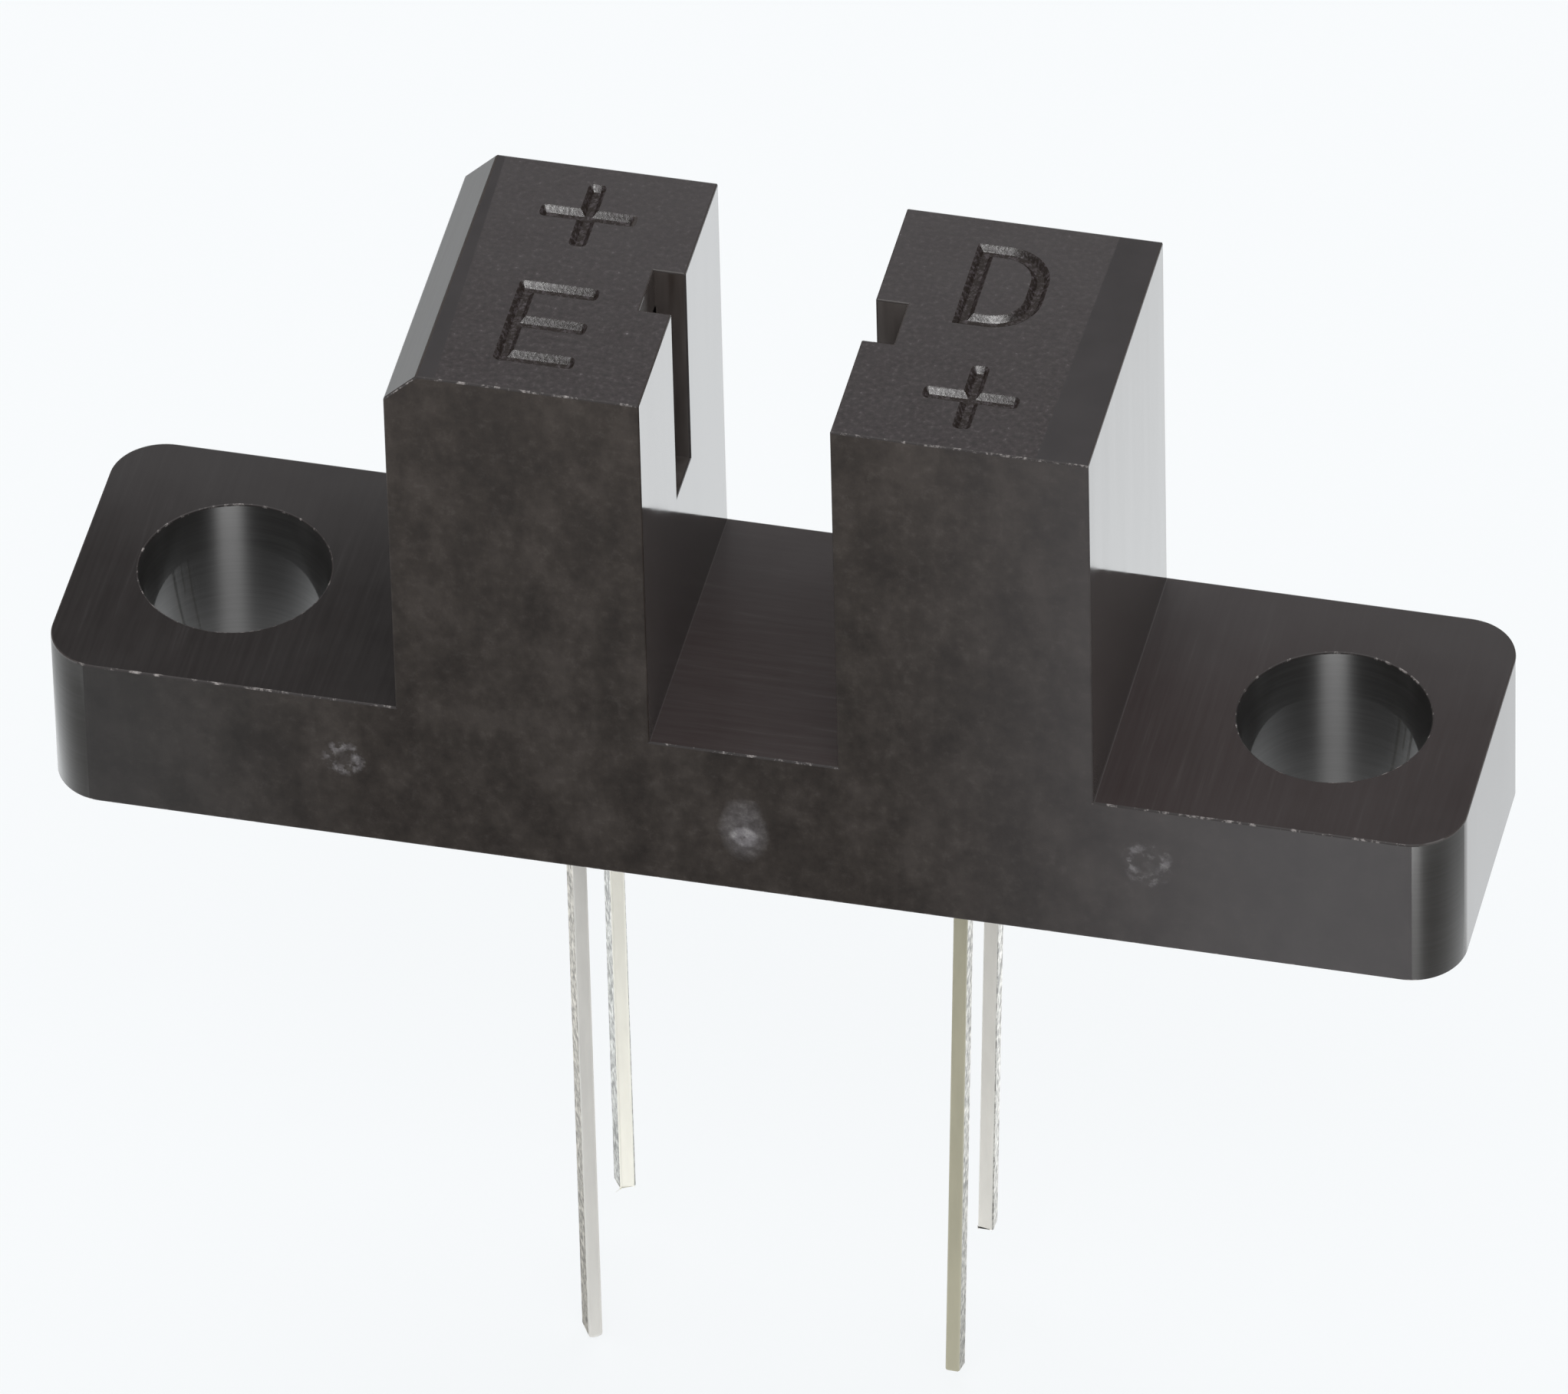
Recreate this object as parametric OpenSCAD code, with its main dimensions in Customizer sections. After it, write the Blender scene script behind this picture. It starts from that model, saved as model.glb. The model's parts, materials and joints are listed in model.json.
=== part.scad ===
// Slotted optical switch. A moulded housing has two screw tabs and two hollow towers with a slot between them.
// One tower holds an infrared LED and the other a phototransistor, each looking across the slot through a slit.
// X runs along the base, Y from front to back, Z up. The origin is the middle of the base's underside.
// Millimetres throughout.

/* [Slot and towers] */
// Width of the slot between the towers
slot_w = 3.26; // [2:0.02:8]
// Height of the tower tops above the underside
body_h = 10.5; // [9:0.1:16]
// Thickness of the base, which is also the height of the slot's floor
base_t = 3.05; // [2:0.05:5]
// Chamfer on the outer top edge of the LED's tower, which tells the two towers apart
chamfer = 0.58; // [0.2:0.02:0.8]
// Wall between each cavity and the slot
inner_wall = 0.53; // [0.4:0.01:1]
// Wall on the outer side of each tower
outer_wall = 0.9; // [0.5:0.05:2]
// Front and back wall beside each component
side_wall = 0.7; // [0.4:0.05:1.5]
// Roof over each cavity
roof_t = 0.8; // [0.5:0.05:1.5]

/* [Aperture slits] */
// Width of each slit, front to back
slit_w = 1.05; // [0.3:0.05:1.6]
// Height of each slit, measured down from the tower's top
slit_h = 4.05; // [3:0.05:5]

/* [Screw tabs] */
// Length of each tab, from the tower to the end
tab_l = 6.22; // [5:0.02:10]
// Distance from a screw hole's centre to the end of its tab
hole_inset = 2.7; // [2.3:0.05:3.5]
// Diameter of the screw holes
hole_d = 3.3; // [2:0.1:3.6]
// Radius of the tabs' upright corners
corner_r = 0.95; // [0.2:0.05:2]

/* [Epoxy bodies] */
// Width of a component's body, front to back
pkg_w = 4.4; // [4:0.1:6]
// Height of a component's body
pkg_h = 5.7; // [5:0.1:6.5]
// Epoxy in front of the lead frame's middle plane
pkg_front = 0.55; // [0.5:0.05:0.9]
// Epoxy behind the lead frame's middle plane
pkg_back = 0.95; // [0.4:0.05:1.5]
// Draft of the body's sides, as a step in at its front and back faces
pkg_draft = 0.08; // [0.02:0.01:0.15]
// Height of the body's top above the optical axis
lens_drop = 1.8; // [1.4:0.05:2.4]
// Radius of the lens where it meets the body
lens_r = 1.15; // [0.8:0.05:1.3]
// How far the lens stands out of the body
lens_h = 0.65; // [0.3:0.05:0.75]
// Depth of each cavity's mouth that the potting leaves open
potting_recess = 0.25; // [0.05:0.05:0.6]

/* [Pocket fits] */
// Clearance on each side of a component in its pocket
side_fit = 0.05; // [0.02:0.01:0.15]
// Clearance between a component and the rails in front of it and behind it
rail_fit = 0.03; // [0.01:0.01:0.1]
// Clearance between the lens and the inner wall
lens_fit = 0.04; // [0.02:0.01:0.3]
// Clearance beside the lens in its groove
groove_fit = 0.1; // [0.05:0.01:0.4]
// Depth of the relief groove behind a component
relief_d = 0.75; // [0.3:0.05:1.5]
// Width of the relief groove behind a component
relief_w = 2.6; // [1:0.1:3.6]

/* [Lead frames] */
// Distance between the two leads of a component
lead_pitch = 2.54; // [2.3:0.02:2.9]
// Width of a lead, front to back
lead_w = 0.5; // [0.3:0.05:0.6]
// Thickness of the lead frame
lead_t = 0.25; // [0.2:0.01:0.4]
// Reach of the LED's front lead below the base
led_front_drop = 12.4; // [3:0.1:20]
// Reach of the LED's back lead below the base
led_back_drop = 11.2; // [3:0.1:20]
// Reach of the phototransistor's front lead below the base
sensor_front_drop = 12.1; // [3:0.1:20]
// Reach of the phototransistor's back lead below the base
sensor_back_drop = 11; // [3:0.1:20]
// Height of the die pad and of the bond post
pad_h = 1.5; // [1.3:0.05:2]
// Gap between the die pad and the bond post
post_gap = 0.27; // [0.15:0.01:0.35]
// How far the bond post's outer edge widens past its lead
post_flare = 0.2; // [0.05:0.05:0.3]
// How far the stub of the cut tie bar stands out on each side of a lead
stub_out = 0.12; // [0.05:0.01:0.2]
// Height of the tie bar stub
stub_h = 0.6; // [0.3:0.05:1]
// Distance from the epoxy body down to the tie bar stub
stub_drop = 1.2; // [0.3:0.05:2]

/* [Dies and bond wires] */
// Side of the LED's die
led_die_w = 0.35; // [0.2:0.01:0.5]
// Side of the phototransistor's die
sensor_die_w = 0.6; // [0.3:0.01:0.9]
// Thickness of a die
die_t = 0.2; // [0.1:0.01:0.24]
// Depth of the reflector cup that the LED's die sits in
cup_d = 0.12; // [0.05:0.01:0.16]
// Radius of the reflector cup's floor
cup_floor_r = 0.4; // [0.37:0.01:0.48]
// Radius of the reflector cup's rim
cup_rim_r = 0.58; // [0.5:0.01:0.65]
// Diameter of a bond wire
wire_d = 0.05; // [0.03:0.005:0.08]
// Diameter of the ball at a bond wire's start on the die
ball_d = 0.12; // [0.09:0.01:0.18]
// Pull of the bond wire's loop, about four thirds of its rise above the die
wire_rise = 0.3; // [0.2:0.01:0.4]

/* [Hidden] */
$fn = 64;
// How far a cutting shape runs past the face that it cuts
over = 0.5;
// How far one shape reaches into the next where the two are joined or cut together
bite = 0.05;
// How far a slit's cut runs past the inner wall
slit_over = 0.02;
// Sections along a bond wire and sides around it
wire_steps = 16;
wire_sides = 8;

// Stack of one tower along X, counted from the slot's middle outwards
cavity_in = slot_w / 2 + inner_wall;
body_in = cavity_in + lens_fit + lens_h;
lead_x = body_in + pkg_front;
body_out = lead_x + pkg_back;
pocket_out = body_out + rail_fit;
relief_out = pocket_out + relief_d;
tower_out = relief_out + outer_wall;
// Plan of the base
base_w = pkg_w + 2 * (side_fit + side_wall);
base_l = 2 * (tower_out + tab_l);
hole_x = base_l / 2 - hole_inset;
// Heights
roof_z = body_h - roof_t;
pkg_z = roof_z - pkg_h;
axis_z = roof_z - lens_drop;
pad_z = axis_z - pad_h / 2;
stub_z = pkg_z - stub_drop - stub_h;
// Lens and lead frame
lens_sphere_r = (lens_r * lens_r + lens_h * lens_h) / (2 * lens_h);
lead_y = lead_pitch / 2;
pad_edge = lead_y - lead_w / 2 - post_gap;
frame_face = lead_x - lead_t / 2;

HOUSING_COLOR = "#2c2927";
LED_EPOXY_COLOR = "#8f86a3";
SENSOR_EPOXY_COLOR = "#241c2b";
LEAD_COLOR = "#c9c8bd";
LED_DIE_COLOR = "#5a4a3a";
SENSOR_DIE_COLOR = "#5b6478";
WIRE_COLOR = "#d9a93a";
POTTING_COLOR = "#191817";

// Everything inside a tower is drawn for the phototransistor, at positive X. The LED's side is its mirror image.
module led_side() {
    mirror([1, 0, 0]) children();
}

// A rectangle between two opposite corners
module area(low, high) {
    translate(low) square(high - low);
}

// An outline drawn in Y and Z, given its thickness along X around the lead frame's middle plane
module lead_frame_sheet() {
    translate([lead_x - lead_t / 2, 0, 0])
        rotate([90, 0, 90])
            linear_extrude(height = lead_t) children();
}

// The base seen from above: a plate with rounded corners
module base_outline() {
    straight_l = base_l - 2 * corner_r;
    straight_w = base_w - 2 * corner_r;
    square([base_l, straight_w], center = true);
    square([straight_l, base_w], center = true);
    for (x = [-1, 1], y = [-1, 1])
        translate([x * straight_l / 2, y * straight_w / 2]) circle(r = corner_r);
}

// The housing seen from the front: the base, both towers, the slot and the one chamfer
module front_outline() {
    end = base_l / 2 + over;
    slot = slot_w / 2;
    polygon([
        [-end, 0],
        [end, 0],
        [end, base_t],
        [tower_out, base_t],
        [tower_out, body_h],
        [slot, body_h],
        [slot, base_t],
        [-slot, base_t],
        [-slot, body_h],
        [-tower_out + chamfer, body_h],
        [-tower_out, body_h - chamfer],
        [-tower_out, base_t],
        [-end, base_t],
    ]);
}

// The cavity seen from above: a pocket for the epoxy body, a groove for its lens and a relief groove behind it
module cavity_outline() {
    pocket_half = pkg_w / 2 + side_fit;
    groove_half = lens_r + groove_fit;
    area([body_in - rail_fit, -pocket_half], [pocket_out, pocket_half]);
    area([cavity_in, -groove_half], [body_in, groove_half]);
    area([body_out, -relief_w / 2], [relief_out, relief_w / 2]);
}

module cavity() {
    translate([0, 0, -over])
        linear_extrude(height = roof_z + over) cavity_outline();
}

// The slit goes through the inner wall and is open at the tower's top
module slit() {
    slit_d = inner_wall + slit_over;
    translate([slot_w / 2 - over, -slit_w / 2, body_h - slit_h])
        cube([slit_d + over, slit_w, slit_h + over]);
}

module screw_hole() {
    translate([hole_x, 0, -over])
        cylinder(d = hole_d, h = base_t + 2 * over);
}

module housing() {
    color(HOUSING_COLOR)
        difference() {
            intersection() {
                translate([0, 0, -over])
                    linear_extrude(height = body_h + 2 * over) base_outline();
                rotate([90, 0, 0])
                    linear_extrude(height = base_w + 2 * over, center = true) front_outline();
            }
            for (side = [0, 1])
                mirror([side, 0, 0]) {
                    cavity();
                    slit();
                    screw_hole();
                }
        }
}

// The stub that is left on both sides of a lead where the tie bar was cut away
module tie_bar_stub(y) {
    half = lead_w / 2 + stub_out;
    area([y - half, stub_z], [y + half, stub_z + stub_h]);
}

// The front lead carries the die on a wide pad that reaches across the optical axis
module pad_lead_outline(drop) {
    outer = -lead_y - lead_w / 2;
    area([outer, -drop], [outer + lead_w, pad_z + bite]);
    area([outer, pad_z], [pad_edge, pad_z + pad_h]);
    tie_bar_stub(-lead_y);
}

// The back lead ends in the post that the bond wire comes down on
module post_lead_outline(drop) {
    inner = lead_y - lead_w / 2;
    area([inner, -drop], [inner + lead_w, pad_z + bite]);
    area([inner, pad_z], [inner + lead_w + post_flare, pad_z + pad_h]);
    tie_bar_stub(lead_y);
}

module pad_lead(drop) {
    lead_frame_sheet() pad_lead_outline(drop);
}

module post_lead(drop) {
    lead_frame_sheet() post_lead_outline(drop);
}

// The cup opens towards the slot, and its wall throws the die's side light forward
module reflector_cup() {
    slope = (cup_rim_r - cup_floor_r) / cup_d;
    translate([frame_face + cup_d, 0, axis_z])
        rotate([0, -90, 0])
            cylinder(r1 = cup_floor_r, r2 = cup_rim_r + slope * bite, h = cup_d + bite);
}

module cup_lead(drop) {
    difference() {
        pad_lead(drop);
        reflector_cup();
    }
}

// A die on a seat that lies sunk behind the lead frame's face. The cut for it reaches a little into the lead.
module die(width, sunk, into_lead = 0) {
    translate([frame_face + sunk - die_t, -width / 2, axis_z - width / 2])
        cube([die_t + into_lead, width, width]);
}

// The bond wire's loop, in X and Y: it leaves the die and meets the post square to their faces
function wire_start(sunk) = [frame_face + sunk - die_t, 0];
function wire_end() = [frame_face, lead_y];
function wire_control(sunk) = [
    wire_start(sunk),
    wire_start(sunk) - [wire_rise, 0],
    wire_end() - [wire_rise + die_t - sunk, 0],
    wire_end(),
];
function curve_point(p, t) =
    pow(1 - t, 3) * p[0] + 3 * pow(1 - t, 2) * t * p[1] + 3 * (1 - t) * t * t * p[2] + pow(t, 3) * p[3];
function curve_slope(p, t) =
    pow(1 - t, 2) * (p[1] - p[0]) + 2 * (1 - t) * t * (p[2] - p[1]) + t * t * (p[3] - p[2]);
function wire_radius(step) = step < 2 ? ball_d / 2 : wire_d / 2;
function wire_ring(p, step) =
    let (
        t = step / wire_steps,
        at = curve_point(p, t),
        along = curve_slope(p, t) / norm(curve_slope(p, t)),
        r = wire_radius(step)
    )
    [for (k = [0:wire_sides - 1])
        let (turn = 360 * k / wire_sides)
        [at[0] - r * cos(turn) * along[1], at[1] + r * cos(turn) * along[0], axis_z + r * sin(turn)]
    ];

module bond_wire(sunk) {
    control = wire_control(sunk);
    rings = [for (step = [0:wire_steps]) wire_ring(control, step)];
    last = wire_steps * wire_sides;
    sides = [for (step = [0:wire_steps - 1], k = [0:wire_sides - 1])
        let (
            next = (k + 1) % wire_sides,
            here = step * wire_sides,
            there = here + wire_sides
        )
        [here + k, here + next, there + next, there + k]
    ];
    first_cap = [for (k = [wire_sides - 1:-1:0]) k];
    last_cap = [for (k = [0:wire_sides - 1]) last + k];
    polyhedron(
        points = [for (ring = rings, point = ring) point],
        faces = concat(sides, [first_cap, last_cap]),
        convexity = 4
    );
}

// The epoxy body, with draft on both sides of the lead frame and a dome lens facing the slot
module epoxy_body() {
    half = pkg_w / 2;
    face_half = half - pkg_draft;
    translate([0, 0, pkg_z])
        linear_extrude(height = pkg_h)
            polygon([
                [body_in, -face_half],
                [lead_x, -half],
                [body_out, -face_half],
                [body_out, face_half],
                [lead_x, half],
                [body_in, face_half],
            ]);
    intersection() {
        translate([body_in - lens_h + lens_sphere_r, 0, axis_z]) sphere(r = lens_sphere_r);
        translate([body_in - lens_h - over, -pkg_w / 2, axis_z - lens_drop])
            cube([lens_h + over + bite, pkg_w, 2 * lens_drop]);
    }
}

// The potting fills a cavity from its mouth up to the epoxy body
module potting_plug() {
    translate([0, 0, potting_recess])
        linear_extrude(height = pkg_z - potting_recess) cavity_outline();
}

module led_lens_body() {
    color(LED_EPOXY_COLOR)
        led_side()
            difference() {
                epoxy_body();
                cup_lead(led_front_drop);
                post_lead(led_back_drop);
                die(led_die_w, cup_d, bite);
                bond_wire(cup_d);
            }
}

module led_cathode_lead() {
    color(LEAD_COLOR) led_side() cup_lead(led_front_drop);
}

module led_anode_lead() {
    color(LEAD_COLOR) led_side() post_lead(led_back_drop);
}

module led_die() {
    color(LED_DIE_COLOR) led_side() die(led_die_w, cup_d);
}

module led_bond_wire() {
    color(WIRE_COLOR) led_side() bond_wire(cup_d);
}

module led_potting() {
    color(POTTING_COLOR)
        led_side()
            difference() {
                potting_plug();
                pad_lead(led_front_drop);
                post_lead(led_back_drop);
            }
}

module phototransistor_lens_body() {
    color(SENSOR_EPOXY_COLOR)
        difference() {
            epoxy_body();
            pad_lead(sensor_front_drop);
            post_lead(sensor_back_drop);
            die(sensor_die_w, 0, bite);
            bond_wire(0);
        }
}

module phototransistor_collector_lead() {
    color(LEAD_COLOR) pad_lead(sensor_front_drop);
}

module phototransistor_emitter_lead() {
    color(LEAD_COLOR) post_lead(sensor_back_drop);
}

module phototransistor_die() {
    color(SENSOR_DIE_COLOR) die(sensor_die_w, 0);
}

module phototransistor_bond_wire() {
    color(WIRE_COLOR) bond_wire(0);
}

module phototransistor_potting() {
    color(POTTING_COLOR)
        difference() {
            potting_plug();
            pad_lead(sensor_front_drop);
            post_lead(sensor_back_drop);
        }
}

housing();
led_lens_body();
led_cathode_lead();
led_anode_lead();
led_die();
led_bond_wire();
led_potting();
phototransistor_lens_body();
phototransistor_collector_lead();
phototransistor_emitter_lead();
phototransistor_die();
phototransistor_bond_wire();
phototransistor_potting();
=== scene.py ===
# %% [markdown]
# # A slotted optical switch, dressed for its portrait
# The switch is a black moulding with two towers and a slot between them. One tower holds an infrared LED
# and the other a phototransistor, and four tinned leads come out below. The construction was modelled
# before, at its real size, and comes in here as a fixed frame. This lesson adds what a construction model
# leaves out: moulded edges, engraved marks, cut lead tips, and a finish for every surface.

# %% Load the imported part
import json
import math

import bmesh
import bpy
from mathutils import Matrix, Vector


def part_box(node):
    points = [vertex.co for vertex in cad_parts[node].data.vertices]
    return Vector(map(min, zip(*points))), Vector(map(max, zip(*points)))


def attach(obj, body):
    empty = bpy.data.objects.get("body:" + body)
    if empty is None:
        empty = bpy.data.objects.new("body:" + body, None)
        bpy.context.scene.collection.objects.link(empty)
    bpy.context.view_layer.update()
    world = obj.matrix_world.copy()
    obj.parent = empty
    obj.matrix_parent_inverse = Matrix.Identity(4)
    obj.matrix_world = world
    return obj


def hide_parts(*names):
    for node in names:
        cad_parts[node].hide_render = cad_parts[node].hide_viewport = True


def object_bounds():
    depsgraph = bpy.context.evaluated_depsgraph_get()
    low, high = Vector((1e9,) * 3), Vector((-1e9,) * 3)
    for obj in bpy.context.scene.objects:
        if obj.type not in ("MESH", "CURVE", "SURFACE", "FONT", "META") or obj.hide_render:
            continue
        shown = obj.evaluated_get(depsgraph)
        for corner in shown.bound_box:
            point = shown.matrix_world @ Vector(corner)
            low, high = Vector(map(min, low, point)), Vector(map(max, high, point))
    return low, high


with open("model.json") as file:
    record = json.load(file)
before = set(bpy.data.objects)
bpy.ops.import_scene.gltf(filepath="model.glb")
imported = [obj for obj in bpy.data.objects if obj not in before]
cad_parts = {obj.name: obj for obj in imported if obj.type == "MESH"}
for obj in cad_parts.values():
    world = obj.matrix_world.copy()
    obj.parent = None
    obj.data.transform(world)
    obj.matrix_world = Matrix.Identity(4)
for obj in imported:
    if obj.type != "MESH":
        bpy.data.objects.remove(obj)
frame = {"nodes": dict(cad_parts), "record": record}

cad_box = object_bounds()
print("pieces in the frame:", ", ".join(sorted(frame["nodes"])))

# %% [markdown]
# ## Sizes in millimetres
# Blender counts in metres, and some mesh operators treat a few hundredths of a millimetre as nothing. So
# each piece is modelled in millimetres and scaled down once, at the end. What the frame can tell is read
# from it: the boxes of its nodes and the screw hole in its record. The walls around the cavities are named
# here.

# %% Read the sizes from the frame
MM = 0.001
CREASE = math.radians(40)


def box_mm(node):
    """Lowest and highest corner of a node, in millimetres."""
    return [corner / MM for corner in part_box(node)]


house_high = box_mm("housing")[1]
plug_low, plug_high = box_mm("phototransistor_potting")
body_low, body_high = box_mm("phototransistor_lens_body")
screw_hole = next(m for m in frame["record"]["mounts"] if m["name"] == "phototransistor_side_hole")

END_X = house_high.x
FACE_Y = house_high.y
TOP_Z = house_high.z
TAB_Z = screw_hole["dims"]["length_mm"]
HOLE_X = screw_hole["pos_m"][0] / MM
HOLE_R = screw_hole["dims"]["r_mm"]
INNER_WALL = 0.53
OUTER_WALL = 0.9
SLOT_X = plug_low.x - INNER_WALL
TOWER_X = plug_high.x + OUTER_WALL
ROOF_Z = body_high.z
print(f"slot {2 * SLOT_X:.2f} mm wide, towers out to {TOWER_X:.2f} mm, tabs {TAB_Z:.2f} mm thick")

# %% [markdown]
# ## Small tools for modelling
# Four moves make nearly every piece below: lay down one flat face, slice it, throw away what the outline
# doesn't need, and extrude the rest. Each move is a bmesh operator wrapped in a short function, so that the
# later cells read like a list of workshop steps.

# %% Slice, keep and raise
X, Y, Z = Vector((1, 0, 0)), Vector((0, 1, 0)), Vector((0, 0, 1))


def flat_plate(low, high, z=0.0):
    """A bmesh with one face between two corners."""
    bm = bmesh.new()
    bmesh.ops.create_grid(bm, x_segments=1, y_segments=1, size=0.5)
    bmesh.ops.scale(bm, vec=(high[0] - low[0], high[1] - low[1], 1), verts=bm.verts)
    middle = ((low[0] + high[0]) / 2, (low[1] + high[1]) / 2, z)
    bmesh.ops.translate(bm, vec=middle, verts=bm.verts)
    return bm


def slice_at(bm, axis, *places):
    """Cut every face along planes square to an axis."""
    for place in places:
        everything = [*bm.verts, *bm.edges, *bm.faces]
        bmesh.ops.bisect_plane(bm, geom=everything, plane_co=axis * place, plane_no=axis)


def keep_faces(bm, wanted):
    """Delete the faces whose middles aren't wanted, and melt the rest into one outline."""
    waste = [face for face in bm.faces if not wanted(face.calc_center_median())]
    bmesh.ops.delete(bm, geom=waste, context="FACES")
    bmesh.ops.dissolve_faces(bm, faces=bm.faces[:])


def raise_faces(bm, faces, lift):
    """Extrude faces along a vector, with the walls that this makes."""
    made = bmesh.ops.extrude_face_region(bm, geom=faces)["geom"]
    moved = [item for item in made if isinstance(item, bmesh.types.BMVert)]
    bmesh.ops.translate(bm, vec=lift, verts=moved)
    bmesh.ops.recalc_face_normals(bm, faces=bm.faces)
    return [item for item in made if isinstance(item, bmesh.types.BMFace)]


def as_object(name, bm):
    """Turn a bmesh into an object of the scene."""
    mesh = bpy.data.meshes.new(name)
    bm.to_mesh(mesh)
    bm.free()
    made = bpy.data.objects.new(name, mesh)
    bpy.context.scene.collection.objects.link(made)
    return made


def carve(bm, cutter, operation="DIFFERENCE"):
    """Cut one closed bmesh with another, through the Boolean modifier."""
    block, tool = as_object("block", bm), as_object("tool", cutter)
    boolean = block.modifiers.new("cut", "BOOLEAN")
    boolean.operation, boolean.solver, boolean.object = operation, "EXACT", tool
    result = bmesh.new()
    result.from_object(block, bpy.context.evaluated_depsgraph_get())
    for used in (block, tool):
        mesh = used.data
        bpy.data.objects.remove(used)
        bpy.data.meshes.remove(mesh)
    return result


def seat_piece(name, bm, slot, *nodes):
    """Crease a finished piece, scale it to metres, and let it stand for its nodes in the frame."""
    for edge in bm.edges:
        edge.smooth = edge.calc_face_angle(math.pi) < CREASE
    bmesh.ops.scale(bm, vec=(MM, MM, MM), verts=bm.verts)
    piece = as_object(name, bm)
    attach(piece, "root")
    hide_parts(*nodes)
    print(f"{name}: {len(piece.data.polygons)} faces")
    return piece


# %% [markdown]
# ## The housing's block
# The real housing is injection moulded in one shot. Its outline from above is a plate with round corners,
# so the block starts as one face with its four corners bevelled. Slicing it at the towers and at the slot,
# then extruding twice, gives the base and the towers with every wall in line. The faces that the towers
# were raised from stay behind inside, so they are deleted. The last bevel is the chamfer that tells the
# LED's tower apart.

# %% Block out the base and the towers
CORNER_R = 0.95
CORNER_STEPS = 24
CHAMFER = 0.58
TINY = 0.001

housing_bm = flat_plate((-END_X, -FACE_Y), (END_X, FACE_Y))
bmesh.ops.bevel(housing_bm, geom=housing_bm.verts[:], offset=CORNER_R, affect="VERTICES",
                segments=CORNER_STEPS, profile=0.5, material=-1)
slice_at(housing_bm, X, -TOWER_X, -SLOT_X, SLOT_X, TOWER_X)
raise_faces(housing_bm, housing_bm.faces[:], Z * TAB_Z)
tower_feet = [
    face for face in housing_bm.faces
    if face.calc_center_median().z > TAB_Z - TINY
    and SLOT_X < abs(face.calc_center_median().x) < TOWER_X
]
raise_faces(housing_bm, tower_feet, Z * (TOP_Z - TAB_Z))
bmesh.ops.delete(housing_bm, geom=tower_feet, context="FACES_ONLY")
bmesh.ops.recalc_face_normals(housing_bm, faces=housing_bm.faces)
chamfer_edge = [
    edge for edge in housing_bm.edges
    if all(vert.co.x < TINY - TOWER_X and vert.co.z > TOP_Z - TINY for vert in edge.verts)
]
bmesh.ops.bevel(housing_bm, geom=chamfer_edge, offset=CHAMFER, affect="EDGES", segments=1, profile=0.5,
                material=-1)
print("block:", len(housing_bm.faces), "faces")

# %% [markdown]
# ## Cavities, slits and screw holes
# Each tower is hollow from below: a pocket for the component, a groove for its lens and a relief groove
# behind it. A slit lets the beam through the inner wall. These are sharp cuts through walls, and a Boolean
# keeps the walls exactly as thick as they are in the frame, where stretching the block's own faces could
# drift.

# %% Cut the hollows
RAIL_FIT = 0.03
BODY_DEPTH = 1.5
GROOVE_HALF = 1.25
RELIEF_HALF = 1.3
SLIT_HALF = 0.525
SLIT_FOOT_Z = 6.45
SLIT_DEPTH = 0.55
OVER = 0.5
HOLE_STEPS = 96
pocket_x = (body_high.x - BODY_DEPTH - RAIL_FIT, body_high.x + RAIL_FIT)


def in_cavity(point):
    """Whether a point of the plan lies in the pocket or in one of its two grooves."""
    x, y = abs(point.x), abs(point.y)
    if x < pocket_x[0]:
        return y < GROOVE_HALF
    return x < pocket_x[1] or y < RELIEF_HALF


def cavity_plan(side, z):
    """The cavity's outline on one side of the slot, as one face."""
    ends = sorted((side * plug_low.x, side * plug_high.x))
    bm = flat_plate((ends[0], plug_low.y), (ends[1], plug_high.y), z)
    slice_at(bm, X, side * pocket_x[0], side * pocket_x[1])
    slice_at(bm, Y, -RELIEF_HALF, -GROOVE_HALF, GROOVE_HALF, RELIEF_HALF)
    keep_faces(bm, in_cavity)
    return bm


def cuboid(low, high):
    """A box between two corners."""
    bm = flat_plate(low, high, low[2])
    raise_faces(bm, bm.faces[:], Z * (high[2] - low[2]))
    return bm


for side in (-1, 1):
    cavity = cavity_plan(side, -OVER)
    raise_faces(cavity, cavity.faces[:], Z * (ROOF_Z + OVER))
    housing_bm = carve(housing_bm, cavity)
    slit_x = sorted((side * (SLOT_X - OVER), side * (SLOT_X + SLIT_DEPTH)))
    slit = cuboid((slit_x[0], -SLIT_HALF, SLIT_FOOT_Z), (slit_x[1], SLIT_HALF, TOP_Z + OVER))
    housing_bm = carve(housing_bm, slit)
    drill = bmesh.new()
    bmesh.ops.create_cone(drill, cap_ends=True, segments=HOLE_STEPS, radius1=HOLE_R, radius2=HOLE_R,
                          depth=2 * TAB_Z + 2 * OVER)
    bmesh.ops.translate(drill, vec=X * side * HOLE_X, verts=drill.verts)
    housing_bm = carve(housing_bm, drill)
print("with hollows:", len(housing_bm.faces), "faces")

# %% [markdown]
# ## Engraved marks
# The tower tops carry sunk marks that say which side is which: E for the emitter, D for the detector, and a
# plus at one lead of each. In the mould they are raised ribs with soft edges. The plus and the E are drawn
# flat by slicing a plate and keeping some of its fields, and their corners are rounded. The D is a plate
# with a round side, inset by a stroke. Three insets that also go down then give each groove its round
# profile. The rounding is wider than the insets together, so no corner folds.

# %% Draw the marks and cut them in
STROKE = 0.31
MARK_STEPS = ((0.03, 0.02), (0.035, 0.05), (0.03, 0.03))
MARK_DEPTH = sum(depth for width, depth in MARK_STEPS)
MARK_ROUND = 0.1
ROUND_STEPS = 4
STRAIGHT = math.radians(170)
PLUS_REACH = 0.82
LETTER_W = 1.38
LETTER_H = 2.1
BOWL_R = 0.82
BOWL_STEPS = 12


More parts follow.
